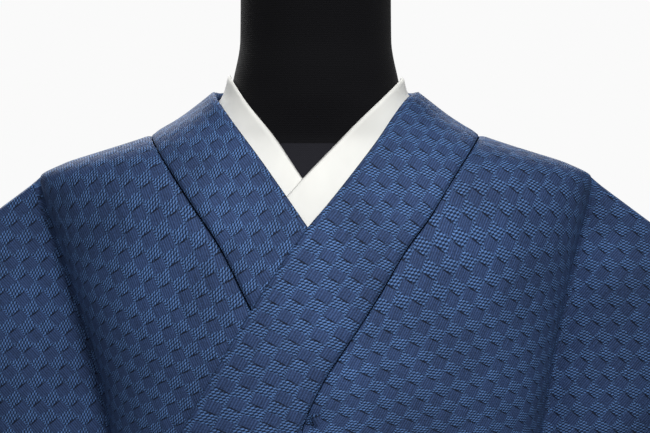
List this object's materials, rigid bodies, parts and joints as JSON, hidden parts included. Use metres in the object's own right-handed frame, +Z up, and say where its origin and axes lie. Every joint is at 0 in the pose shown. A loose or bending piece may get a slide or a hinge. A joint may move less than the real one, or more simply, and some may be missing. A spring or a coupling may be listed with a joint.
{
  "type": "cotton kimono on a limbless dress form",
  "caption": "Woman's unlined cotton kimono with a woven basket check, closed left over right over a plain white collar, on a limbless dress form with a round stand.",
  "frame": {"origin": "centre of the stand base's underside, on the floor", "axes": "+Z up, -Y the way the wearer faces, +X to the wearer's left, which is the viewer's right seen from the front"},
  "size_m": [0.8946, 0.36, 1.522],
  "materials": {
    "indigo_cotton": "matt woven basket check",
    "white_cotton": "smooth plain weave",
    "black_jersey": "fine knit stretched over the form",
    "black_steel": "satin black paint"
  },
  "bodies": {
    "root": {"body_left": "indigo_cotton", "body_right": "indigo_cotton", "overlap_left": "indigo_cotton", "overlap_right": "indigo_cotton", "collar": "indigo_cotton", "sleeve_left": "indigo_cotton", "sleeve_right": "indigo_cotton", "undercollar": "white_cotton", "form_torso": "black_jersey", "stand_pole": "black_steel", "stand_base": "black_steel"}
  },
  "joints": []
}
